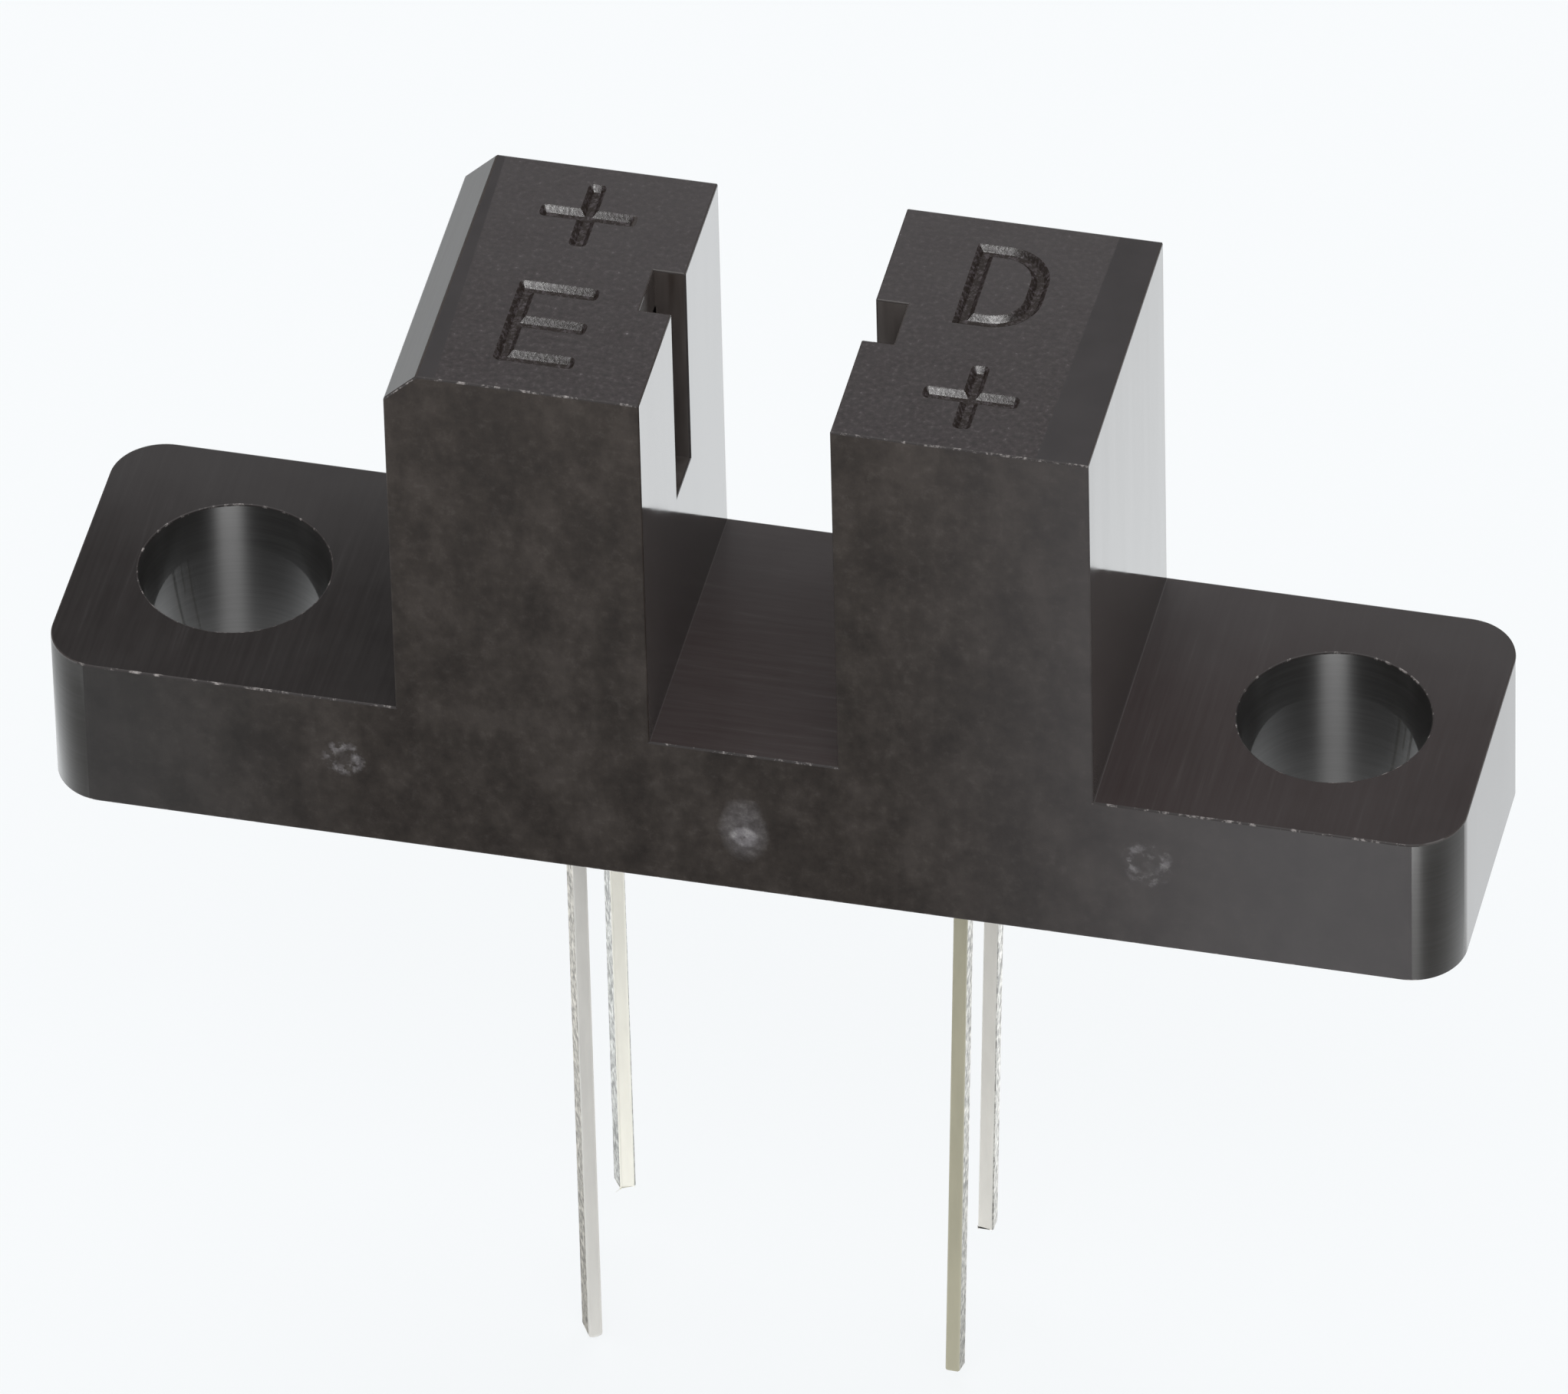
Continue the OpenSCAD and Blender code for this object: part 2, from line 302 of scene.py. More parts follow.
def round_corners(bm, radius):
    """Round the corners of a flat outline that point outwards."""
    loops = [loop for face in bm.faces for loop in face.loops]
    corners = [loop.vert for loop in loops if loop.is_convex and loop.calc_angle() < STRAIGHT]
    bmesh.ops.bevel(bm, geom=corners, offset=radius, affect="VERTICES", segments=ROUND_STEPS, profile=0.5,
                    material=-1)


def plus_plan():
    """A plus sign around the origin."""
    bm = flat_plate((-PLUS_REACH, -PLUS_REACH), (PLUS_REACH, PLUS_REACH))
    slice_at(bm, X, -STROKE / 2, STROKE / 2)
    slice_at(bm, Y, -STROKE / 2, STROKE / 2)
    keep_faces(bm, lambda point: min(abs(point.x), abs(point.y)) < STROKE / 2)
    round_corners(bm, MARK_ROUND)
    return bm


def emitter_plan():
    """The letter E around the origin."""
    half_w, half_h, half_bar = LETTER_W / 2, LETTER_H / 2, STROKE / 2
    bm = flat_plate((-half_w, -half_h), (half_w, half_h))
    slice_at(bm, X, STROKE - half_w)
    slice_at(bm, Y, STROKE - half_h, -half_bar, half_bar, half_h - STROKE)
    bars = (half_h - half_bar, 0.0)
    keep_faces(bm, lambda point: point.x < STROKE - half_w
               or any(abs(abs(point.y) - bar) < half_bar for bar in bars))
    round_corners(bm, MARK_ROUND)
    return bm


def detector_plan():
    """The letter D around the origin: a bowl-sided plate, inset by a stroke, without its middle."""
    half_w, half_h = LETTER_W / 2, LETTER_H / 2
    bm = flat_plate((-half_w, -half_h), (half_w, half_h))
    bowl = [vert for vert in bm.verts if vert.co.x > 0]
    bmesh.ops.bevel(bm, geom=bowl, offset=BOWL_R, affect="VERTICES", segments=BOWL_STEPS, profile=0.5,
                    material=-1)
    middle = bm.faces[:]
    bmesh.ops.inset_region(bm, faces=middle, thickness=STROKE, use_even_offset=True, use_boundary=True)
    bmesh.ops.delete(bm, geom=middle, context="FACES")
    return bm


def sunk_mark(plan, x, y):
    """Close a flat plan to a cutter that sinks into the tower's top with a round profile."""
    bmesh.ops.translate(plan, vec=(x, y, TOP_Z + OVER), verts=plan.verts)
    lower = raise_faces(plan, plan.faces[:], Z * -OVER)
    for width, depth in MARK_STEPS:
        bmesh.ops.inset_region(plan, faces=lower, thickness=width, depth=depth, use_even_offset=True)
    bmesh.ops.recalc_face_normals(plan, faces=plan.faces)
    return plan


MARKS = (
    (plus_plan, -3.59, 1.69),
    (emitter_plan, -3.62, -1.2),
    (detector_plan, 3.7, 1.25),
    (plus_plan, 3.74, -1.61),
)
for draw, mark_x, mark_y in MARKS:
    housing_bm = carve(housing_bm, sunk_mark(draw(), mark_x, mark_y))
print("with marks:", len(housing_bm.faces), "faces")

# %% [markdown]
# ## Edges that catch the light
# No moulded edge is perfectly sharp, and this one has a thread of flash that glints along the edges. A
# narrow bevel on the outer edges gives the light something to catch, and the flash's finish adds painted
# glints. The marks are left out, as they are round already. The faces that the bevel makes are remembered,
# because they get a finish of their own. The angle between two faces has a sign, and only a positive one is
# an edge that sticks out, so the feet of the towers stay crisp.

# %% Bevel the outer edges
EDGE_R = 0.03
SHARP = math.radians(25)
LEVEL = math.radians(0.2)

bmesh.ops.remove_doubles(housing_bm, verts=housing_bm.verts, dist=TINY)
bmesh.ops.dissolve_limit(housing_bm, angle_limit=LEVEL, verts=housing_bm.verts, edges=housing_bm.edges)


def in_marks(point):
    """Whether a point lies where the marks are, within their depth."""
    across = pocket_x[0] < abs(point.x) < TOWER_X - 2 * CHAMFER and abs(point.y) < FACE_Y - STROKE
    return across and point.z > TOP_Z - MARK_DEPTH - TINY


def is_outer_edge(edge):
    """A sharp edge that sticks out and is neither inside a cavity nor in a mark."""
    middle = (edge.verts[0].co + edge.verts[1].co) / 2
    in_reach = plug_low.x < abs(middle.x) < plug_high.x and TINY < middle.z < ROOF_Z + TINY
    inside = in_reach and in_cavity(middle)
    return edge.is_manifold and edge.calc_face_angle_signed() > SHARP and not inside and not in_marks(middle)


outer_edges = [edge for edge in housing_bm.edges if is_outer_edge(edge)]
edge_faces = bmesh.ops.bevel(housing_bm, geom=outer_edges, offset=EDGE_R, affect="EDGES", segments=2,
                             profile=0.5, material=-1)["faces"]
for vert in housing_bm.verts:
    vert.co.y = max(-FACE_Y, min(FACE_Y, vert.co.y))
open_edges = sum(not edge.is_manifold for edge in housing_bm.edges)
print("bevelled into", len(edge_faces), "faces, open edges:", open_edges)

# %% [markdown]
# ## One finish for each kind of face
# A mould is not finished alike all over. The tower tops are spark etched, the sides are polished so that
# the part slides out, and the front is only ground. So each face is sorted by where it lies and which way
# it looks, and takes the number of its finish. The materials behind the numbers come further down.

# %% Sort the faces
HOUSING_FINISHES = ("etched_top", "polished_side", "ground_front", "tab_top", "bore_wall", "round_corner",
                    "flash_and_glints", "engraving", "inner_wall")
FLAT = 0.95
SLANTED = 0.5
UPRIGHT = 0.1
NEAR = 0.02


def near(value, *places):
    """Whether a value is at one of some places."""
    return any(abs(value - place) < NEAR for place in places)


def housing_finish(face):
    """The name of the finish that a face of the housing takes."""
    way, at = face.normal, face.calc_center_median()
    upright = abs(way.z) < UPRIGHT
    if in_marks(at) and at.z < TOP_Z - TINY:
        return "engraving"
    if way.z > FLAT and near(at.z, TOP_Z):
        return "etched_top"
    if way.z > FLAT and near(at.z, TAB_Z):
        return "tab_top"
    if abs(way.x) > FLAT and near(abs(at.x), SLOT_X, TOWER_X, END_X):
        return "polished_side"
    if abs(way.y) > FLAT and near(abs(at.y), FACE_Y) or way.z < -FLAT and near(at.z, 0):
        return "ground_front"
    if upright and math.hypot(abs(at.x) - HOLE_X, at.y) < HOLE_R + NEAR:
        return "bore_wall"
    if upright and abs(at.x) > END_X - CORNER_R or at.x < CHAMFER - TOWER_X and SLANTED < way.z < FLAT:
        return "round_corner"
    return "inner_wall"


def on_rim(face):
    """Whether a face is on the rim of a screw hole."""
    at = face.calc_center_median()
    return math.hypot(abs(at.x) - HOLE_X, at.y) < HOLE_R + 2 * EDGE_R


def edge_finish(face):
    """Flash with painted glints around the holes and on the front's level edges, grinding on its upright
    ones, else polish.
    """
    is_front = face.calc_center_median().y < 2 * EDGE_R - FACE_Y
    if is_front and abs(face.normal.z) < UPRIGHT:
        return "ground_front"
    has_flash = on_rim(face) or is_front and abs(face.normal.x) < SLANTED
    return "flash_and_glints" if has_flash else "polished_side"


housing_bm.normal_update()
counts = dict.fromkeys(HOUSING_FINISHES, 0)
bevelled = set(edge_faces)
for face in housing_bm.faces:
    finish = edge_finish(face) if face in bevelled else housing_finish(face)
    face.material_index = HOUSING_FINISHES.index(finish)
    if face in bevelled:
        face.smooth = on_rim(face) or abs(face.calc_center_median().x) > END_X - CORNER_R
    else:
        face.smooth = finish in ("bore_wall", "round_corner", "engraving") and face.normal.z < FLAT
    counts[finish] += 1
print(counts)
housing = seat_piece("moulded_housing", housing_bm, "housing_plastic", "housing")

# %% [markdown]
# ## Leads
# The leads are stamped from thin sheet, then tinned. Each one is drawn as its flat blank: a long bar that
# ends in a pad or a post inside the epoxy, with the stubs where the tie bar was cut. The blank gets its
# thickness by one extrusion and its soft plated edges by a bevel. Before it is bent, its broad faces are
# told apart from the others for the tin that comes later. Two slices give it edges to bend at: the
# emitter's leads are twisted below their epoxy, and the detector's lean a little to the middle. Side
# cutters leave a slanted tip, so the front of each tip is raised by a slope of its own.

# %% Draw the blanks
LEAD_W = 0.5
LEAD_INSET = 0.93
PAD_H = 1.5
STUB_OUT = 0.12
STUB_H = 0.6
STUB_Z = 2.2
LENS_DROP = 1.8
AXIS_Z = ROOF_Z - LENS_DROP
pad_z = AXIS_Z - PAD_H / 2
lead_y = (body_high.y - body_low.y) / 2 - LEAD_INSET
print(f"leads {LEAD_W} mm wide and {2 * lead_y:.2f} mm apart, pads from {pad_z:.2f} mm up")


def blank_outline(y, tip_z, head_low, head_high):
    """A lead's flat blank, drawn with Y across and Z up: bar, tie bar stubs and head."""
    bar_low, bar_high = y - LEAD_W / 2, y + LEAD_W / 2
    low, high = min(head_low, bar_low - STUB_OUT), max(head_high, bar_high + STUB_OUT)
    bm = flat_plate((low, tip_z), (high, pad_z + PAD_H))
    slice_at(bm, X, bar_low - STUB_OUT, bar_low, bar_high, bar_high + STUB_OUT, head_low, head_high)
    slice_at(bm, Y, STUB_Z, STUB_Z + STUB_H, pad_z)

    def in_blank(point):
        if point.y > pad_z:
            return head_low < point.x < head_high
        reach = STUB_OUT if STUB_Z < point.y < STUB_Z + STUB_H else 0.0
        return bar_low - reach < point.x < bar_high + reach

    keep_faces(bm, in_blank)
    return bm


# %% Press, cut, plate and bend
LEAD_T = 0.25
PAD_EDGE_Y = 0.75
POST_FLARE = 0.2
PLATED_EDGE = 0.035
SQUARE = 0.99
BEND_Z = 0.9
CUP_R = (0.4, 0.58)
CUP_DEPTH = 0.12
CUP_PAST = 0.1
CUP_STEPS = 48
lead_x = sum(corner.x for corner in box_mm("phototransistor_emitter_lead")) / 2
print(f"leads {LEAD_T} mm thick, {lead_x:.2f} mm from the middle")


def cup_cutter(side):
    """The cone that presses the reflector cup into the LED's pad, with its rim past the pad's face."""
    slope = (CUP_R[1] - CUP_R[0]) / CUP_DEPTH
    bm = bmesh.new()
    bmesh.ops.create_cone(bm, cap_ends=True, segments=CUP_STEPS, radius1=CUP_R[0],
                          radius2=CUP_R[1] + slope * CUP_PAST, depth=CUP_DEPTH + CUP_PAST)
    bmesh.ops.rotate(bm, matrix=Matrix.Rotation(math.radians(-90 * side), 3, "Y"), verts=bm.verts)
    face_x = side * (lead_x - LEAD_T / 2)
    bmesh.ops.translate(bm, vec=(face_x + side * (CUP_DEPTH - CUP_PAST) / 2, 0, AXIS_Z), verts=bm.verts)
    return bm


def stamped_lead(side, y, tip_z, is_pad, has_cup, lean, twist, tip_edge, cut):
    """One finished lead: blank, thickness, cup, cut tip, plated edges, twist and lean."""
    outer = y - math.copysign(LEAD_W / 2, -y)
    head = (outer, PAD_EDGE_Y) if is_pad else (y - LEAD_W / 2, y + LEAD_W / 2 + POST_FLARE)
    bm = blank_outline(y, tip_z, *head)
    raise_faces(bm, bm.faces[:], Z * LEAD_T)
    upright = Matrix(((0, 0, 1), (1, 0, 0), (0, 1, 0)))
    bmesh.ops.rotate(bm, matrix=upright, verts=bm.verts)
    bmesh.ops.translate(bm, vec=X * (side * lead_x - LEAD_T / 2), verts=bm.verts)
    if has_cup:
        bm = carve(bm, cup_cutter(side))
    tip = [edge for edge in bm.edges if all(vert.co.z < tip_z + TINY for vert in edge.verts)]
    for vert in {vert for edge in tip for vert in edge.verts}:
        vert.co.z += cut * (y + LEAD_W / 2 - vert.co.y)
    bmesh.ops.bevel(bm, geom=tip, offset=tip_edge, affect="EDGES", segments=3, profile=0.5, material=-1)
    long_edges = [edge for edge in bm.edges if edge.is_manifold and edge.calc_face_angle() > SHARP * 2]
    bmesh.ops.bevel(bm, geom=long_edges, offset=PLATED_EDGE, affect="EDGES", segments=2, profile=0.5,
                    material=-1)
    bm.normal_update()
    for face in bm.faces:
        face.smooth = max(abs(part) for part in face.normal) < SQUARE
        face.material_index = int(abs(face.normal.x) > SQUARE)
    slice_at(bm, Z, 0.0, BEND_Z)
    below = [vert for vert in bm.verts if vert.co.z < BEND_Z + TINY]
    foot = Vector((side * lead_x, y, 0))
    bmesh.ops.rotate(bm, cent=foot, matrix=Matrix.Rotation(twist, 3, "Z"), verts=below)
    below = [vert for vert in bm.verts if vert.co.z < -TINY]
    bmesh.ops.rotate(bm, cent=foot, matrix=Matrix.Rotation(lean, 3, "Y"), verts=below)
    return bm


# %% Cut the four leads to their lengths
LEAN = math.radians(1.65)
TWIST = math.radians(28)
LEADS = {
    "led_cathode_lead": (-1, -1, True, True, 0.0, TWIST, 0.1, 0.18),
    "led_anode_lead": (-1, 1, False, False, 0.0, TWIST, 0.03, 0.36),
    "phototransistor_collector_lead": (1, -1, True, False, LEAN, 0.0, 0.03, 0.48),
    "phototransistor_emitter_lead": (1, 1, False, False, LEAN, 0.0, 0.03, 0.4),
}
leads, cores = {}, {-1: [], 1: []}
for node, (side, row, *details) in LEADS.items():
    bar = stamped_lead(side, row * lead_y, box_mm(node)[0].z, *details)
    cores[side].append(bar.copy())
    leads[node] = seat_piece("tinned_" + node, bar, "tinned_lead", node)

# %% [markdown]
# ## Potting
# Black epoxy is poured into each cavity from below and closes it around the leads. While it is wet it
# creeps up the walls, so its face is a little dished. An inset of the outline that also moves inwards makes
# that rim. Copies of the two leads then cut it, because a poured plug fits them exactly. The cut walls
# bring the finish numbers of the leads along, so every face is set back to the potting's only one.

# %% Pour the plugs
RIM_W = 0.3
RIM_H = 0.1
RIM_STEPS = 3

for side, maker in ((-1, "led"), (1, "phototransistor")):
    plug = cavity_plan(side, plug_low.z)
    raise_faces(plug, plug.faces[:], Z * (plug_high.z - plug_low.z))
    mouth = [face for face in plug.faces if face.normal.z < -FLAT]
    for step in range(RIM_STEPS):
        bmesh.ops.inset_region(plug, faces=mouth, thickness=RIM_W / RIM_STEPS,
                               depth=-RIM_H / RIM_STEPS / (step + 1), use_even_offset=True)
    for core in cores[side]:
        plug = carve(plug, core)
    for face in plug.faces:
        face.smooth = True
        face.material_index = 0
    seat_piece("poured_" + maker + "_potting", plug, "potting_epoxy", maker + "_potting")

# %% [markdown]
# ## Shader helpers
# Every finish below starts the same way: a Principled shader, and the piece's own coordinates turned into
# millimetres, so that a scale of 10 means ten grains to the millimetre. Noise, ramps and bump are then
# added by short helpers. Object coordinates are used because they stay with the mesh wherever it goes.


# %% Add nodes and feed them
def plug_in(tree, socket, source):
    """Link a source to a socket, or set it as the socket's value."""
    if isinstance(source, bpy.types.NodeSocket):
        tree.links.new(source, socket)
    else:
        socket.default_value = source


def feed(tree, node, **sources):
    """Give a node's sockets their sources, each by its name."""
    for socket, source in sources.items():
        plug_in(tree, node.inputs[socket.replace("_", " ")], source)


def add_node(tree, kind, **sources):
    """A new node of a kind, with its sockets fed."""
    node = tree.nodes.new("ShaderNode" + kind)
    feed(tree, node, **sources)
    return node


def calculate(tree, operation, *sources):
    """The result of a Math node on its sources."""
    node = add_node(tree, "Math")
    node.operation = operation
    for socket, source in zip(node.inputs, sources):
        plug_in(tree, socket, source)
    return node.outputs["Value"]


def distance(tree, vector, centre, reach):
    """How far each point is from a centre, counted in a reach for each axis."""
    centred = add_node(tree, "Mapping", Vector=vector, Location=centre, Scale=reach)
    centred.vector_type = "TEXTURE"
    away = tree.nodes.new("ShaderNodeVectorMath")
    away.operation = "LENGTH"
    tree.links.new(centred.outputs["Vector"], away.inputs[0])
    return away.outputs["Value"]


# %% Start a finish and add its textures
def new_finish(name, **constants):
    """A material whose shader has these values set on its own sockets."""
    material = bpy.data.materials.new(name)
    material.use_nodes = True
    tree = material.node_tree
    shader = tree.nodes["Principled BSDF"]
    feed(tree, shader, **constants)
    place = add_node(tree, "TexCoord").outputs["Object"]
    scaled = add_node(tree, "Mapping", Vector=place, Scale=(1 / MM, 1 / MM, 1 / MM))
    return material, tree, shader, scaled.outputs["Vector"]


def stretched(tree, vector, scale, turn=0.0):
    """Coordinates scaled by axis, so that a pattern runs along one of them, and turned about Z."""
    node = add_node(tree, "Mapping", Vector=vector, Scale=scale, Rotation=(0, 0, turn))
    return node.outputs["Vector"]


def noise(tree, vector, scale, detail=3.0, roughness=0.5):
    """Cloudy noise with so many clouds to the millimetre."""
    node = add_node(tree, "TexNoise", Vector=vector, Scale=scale, Detail=detail, Roughness=roughness)
    return node.outputs["Fac"]


def ramp(tree, factor, *stops):
    """Colours or values along a factor: each stop is (position, colour)."""
    node = add_node(tree, "ValToRGB", Fac=factor)
    points = node.color_ramp.elements
    while len(points) < len(stops):
        points.new(0.5)
    for point, (position, colour) in zip(points, stops):
        point.position = position
        point.color = (*colour, 1) if isinstance(colour, tuple) else (colour, colour, colour, 1)
    return node.outputs["Color"]


def along(tree, vector, axis, start, stop, full=1.0):
    """A share that grows from nothing to its full size along one axis."""
    split = add_node(tree, "SeparateXYZ", Vector=vector)
    share = add_node(tree, "MapRange", Value=split.outputs[axis], From_Min=start, From_Max=stop, To_Max=full)
    share.interpolation_type = "SMOOTHSTEP"
    return share.outputs["Result"]


def blend(tree, factor, first, second):
    """Two colours mixed by a factor. Each of the three may be a socket or a value."""
    node = tree.nodes.new("ShaderNodeMix")
    node.data_type = "RGBA"
    for number, source in ((0, factor), (6, first), (7, second)):
        plug_in(tree, node.inputs[number], source)
    return node.outputs[2]


def add_bump(tree, shader, height, depth_um):
    """Bump of a depth in micrometres on the shader's normal."""
    node = add_node(tree, "Bump", Strength=1.0, Distance=depth_um * MM * MM, Height=height)
    feed(tree, shader, Normal=node.outputs["Normal"])


# %% [markdown]
# ## Black plastic, finished in several ways
# The plastic is one warm black, filled with a little carbon. What the eye tells apart is the surface: spark
# etching scatters the light, polish mirrors it, grinding leaves clouds and fine lines. So the colours below
# stay close together and the work goes into roughness and bump.

# %% Tower tops and tab tops
PLASTIC_IOR = 1.5
ETCH_EDGE_X = 5.21
ETCH_BLUR = 0.015
ETCH_TURN = 0.028
# Painted highlights: pale lines on the tab tops along the towers' feet, where a fillet would catch the
# light.
FOOT_HIGHLIGHT_REACH = 0.1
FOOT_HIGHLIGHTS = ((-SLOT_X, 0.2), (TOWER_X, 0.4))
# Where the painted light on the right tab starts to fade towards its outer end.
LIGHT_FADE_X = TOWER_X - 2


def etched_top():
    """Spark-etched face with a smooth strip outside the etched insert on either side."""
    material, tree, shader, mm = new_finish("etched_top", IOR=PLASTIC_IOR)
    grain = noise(tree, mm, 10.0, 4.0, 0.62)
    clouds = noise(tree, mm, 1.6, 3.0)
    etched = ramp(tree, grain, (0.3, (0.009, 0.005, 0.005)), (0.55, (0.028, 0.019, 0.020)),
                  (0.68, (0.055, 0.044, 0.046)), (0.76, (0.2, 0.18, 0.19)))
    etched = blend(tree, along(tree, mm, "Y", -FACE_Y, FACE_Y, 0.5), etched, (0.054, 0.047, 0.048, 1))
    plain = ramp(tree, clouds, (0.3, (0.028, 0.024, 0.025)), (0.7, (0.036, 0.031, 0.032)))
    rough = ramp(tree, clouds, (0.3, 0.42), (0.7, 0.52))
    for end in (-1, 1):
        askew = stretched(tree, mm, (1, 1, 1), end * ETCH_TURN)
        strip = along(tree, askew, "X", end * (ETCH_EDGE_X - ETCH_BLUR), end * (ETCH_EDGE_X + ETCH_BLUR))
        etched = blend(tree, strip, etched, plain)
        rough = blend(tree, strip, rough, (0.3, 0.3, 0.3, 1))
        grain = blend(tree, strip, grain, (0.5, 0.5, 0.5, 1))
    feed(tree, shader, Base_Color=etched, Roughness=rough)
    add_bump(tree, shader, grain, 6.0)
    return material


def tab_top():
    """Ground face with fine lines, across in the slot and from front to back elsewhere, lighter in places by
    painted light, with painted highlights along the towers' feet.
    """
    material, tree, shader, mm = new_finish("tab_top", IOR=PLASTIC_IOR, Specular_IOR_Level=0.3)
    lines = noise(tree, stretched(tree, mm, (9.0, 0.35, 1.0)), 1.0, 4.0, 0.6)
    clouds = noise(tree, mm, 0.9, 4.0, 0.6)
    ground = ramp(tree, lines, (0.35, (0.019, 0.0155, 0.0150)), (0.6, (0.025, 0.021, 0.0205)),
                  (0.78, (0.036, 0.032, 0.032)))
    crossing = noise(tree, stretched(tree, mm, (0.5, 8.0, 1.0)), 1.0, 4.0, 0.6)
    crossing = blend(tree, along(tree, mm, "X", SLOT_X, TOWER_X), crossing, lines)
    # Painted light: lighter colours in the slot and on the right tab, fading towards the tab's outer end.
    painted_light_crossing = ramp(tree, crossing, (0.35, (0.053, 0.040, 0.039)), (0.6, (0.061, 0.048, 0.047)),
                (0.78, (0.080, 0.066, 0.065)))
    ground = blend(tree, along(tree, mm, "X", -TOWER_X, -SLOT_X), ground, painted_light_crossing)
    ground = blend(tree, along(tree, mm, "X", LIGHT_FADE_X, END_X, 0.55), ground, (0.030, 0.026, 0.026, 1))
    # Painted reflection: lighter towards the back.
    ground = blend(tree, along(tree, mm, "Y", -FACE_Y / 4, FACE_Y, 0.65), ground, (0.068, 0.064, 0.064, 1))
    # Painted highlights along the towers' feet.
    for foot_x, share in FOOT_HIGHLIGHTS:
        foot = along(tree, mm, "X", foot_x - FOOT_HIGHLIGHT_REACH, foot_x + FOOT_HIGHLIGHT_REACH)
        foot = ramp(tree, foot, (0.48, 0.0), (0.56, share), (0.68, 0.0))
        ground = blend(tree, foot, ground, (0.18, 0.17, 0.17, 1))
    feed(tree, shader, Base_Color=ground, Roughness=ramp(tree, clouds, (0.3, 0.16), (0.7, 0.26)))
    add_bump(tree, shader, lines, 1.2)
    return material


housing_materials = {"etched_top": etched_top(), "tab_top": tab_top()}
print("finishes of the tops:", ", ".join(housing_materials))


# %% Polished sides
def polished_side():
    """Mirror-smooth wall with draw lines up and down."""
    material, tree, shader, mm = new_finish("polished_side", IOR=PLASTIC_IOR)
    lines = noise(tree, stretched(tree, mm, (1.0, 0.9, 0.1)), 1.0, 2.0, 0.5)
    specks = noise(tree, mm, 6.0, 4.0, 0.7)
    colour = ramp(tree, specks, (0.3, (0.048, 0.040, 0.037)), (0.75, (0.058, 0.050, 0.047)))
    feed(tree, shader, Base_Color=colour, Roughness=ramp(tree, lines, (0.3, 0.05), (0.7, 0.12)))
    add_bump(tree, shader, lines, 2.5)
    return material


housing_materials["polished_side"] = polished_side()
print("finish of the sides:", housing_materials["polished_side"].name)

# %% [markdown]
# ## The front and its scars
# The front of the mould was only ground, and the melt left clouds on it. It is torn at the gate, where the
# sprue broke off, and at two pins. These scars are too shallow to model, so the material draws them: the
# distance from each place, frayed by a noise, runs through a ramp that says how torn the plastic is there.

# %% Grind the front
FRAY = 0.25
# The span of the front that is painted paler to the right, a painted reflection.
PAINTED_REFLECTION_X = (1.5, 10.5)
BLACK = (0, 0, 0, 1)
RING = ((0.15, 0.1), (0.32, 0.8), (0.42, 0.6), (0.55, 0.0))
SCARS = (
    ((-0.02, 1.35), (0.42, 0.68), False, ((0.1, 0.4), (0.38, 0.26), (0.54, 0.0))),
    ((-0.02, 1.2), (0.27, 0.25), False, ((0.04, 0.1), (0.1, 1.0), (0.36, 0.75), (0.48, 0.0))),
    ((-6.98, 1.74), (0.36, 0.36), True, RING),
    ((6.96, 1.82), (0.42, 0.5), True, RING),
)


def scar(tree, mm, place, reach, stops):
    """How torn the front is around a place: values along the frayed distance from it."""
    away = distance(tree, mm, (place[0], -FACE_Y, place[1]), (2 * reach[0], 1, 2 * reach[1]))
    frayed = calculate(tree, "MULTIPLY_ADD", noise(tree, mm, 2.6, 4.0, 0.6), FRAY, away)
    return ramp(tree, frayed, *((position + FRAY / 2, share) for position, share in stops))


def ground_front():
    """Satin wall, clouded where the melt flowed and torn at the gate and the two pins, paler by painted
    reflection to the right and at the left end.
    """
    material, tree, shader, mm = new_finish("ground_front", IOR=PLASTIC_IOR, Specular_IOR_Level=0.3)
    clouds = noise(tree, stretched(tree, mm, (1.0, 1.0, 0.6)), 1.5, 5.0, 0.65)
    grain = noise(tree, mm, 5.0, 5.0, 0.7)
    flow = ramp(tree, clouds, (0.36, (0.019, 0.0125, 0.009)), (0.5, (0.036, 0.026, 0.0195)),
                (0.64, (0.061, 0.047, 0.038)))
    pores = ramp(tree, grain, (0.34, (0.016, 0.0105, 0.008)), (0.55, (0.038, 0.028, 0.0225)),
                 (0.72, (0.085, 0.072, 0.064)))
    colour = blend(tree, 0.4, flow, pores)
    # Darker towards the bottom, then paler to the right and at the left end, which is painted reflection.
    colour = blend(tree, along(tree, mm, "Z", 1.5 * TOP_Z, TAB_Z, 0.28), colour, BLACK)
    colour = blend(tree, along(tree, mm, "X", *PAINTED_REFLECTION_X, 0.8), colour, (0.094, 0.089, 0.091, 1))
    colour = blend(tree, along(tree, mm, "X", -TOWER_X, -END_X, 0.7), colour, (0.039, 0.038, 0.038, 1))
    torn = ramp(tree, grain, (0.36, (0.11, 0.1, 0.102)), (0.52, (0.19, 0.18, 0.186)),
                (0.68, (0.34, 0.33, 0.325)))
    crumbs = ramp(tree, noise(tree, mm, 5.5, 3.0, 0.6), (0.46, 0.05), (0.6, 0.9))
    for place, reach, is_crumbled, stops in SCARS:
        share = scar(tree, mm, place, reach, stops)
        if is_crumbled:
            share = blend(tree, share, BLACK, crumbs)
        colour = blend(tree, share, colour, torn)
    feed(tree, shader, Base_Color=colour, Roughness=ramp(tree, clouds, (0.3, 0.36), (0.7, 0.5)))
    add_bump(tree, shader, grain, 3.0)
    return material


housing_materials["ground_front"] = ground_front()
print("torn patches on the front:", len(SCARS))

# %% [markdown]
# ## Round walls and hollows
# The screw holes and the round ends of the tabs come from turned tools, which leave fine rings. Rings
# stretch a highlight along the axis, and an anisotropic shader with an upright tangent does that without a
# mesh for each ring. A thin coat adds the sharp reflection of the moulded skin. Slits and cavities are
# plain and matt.

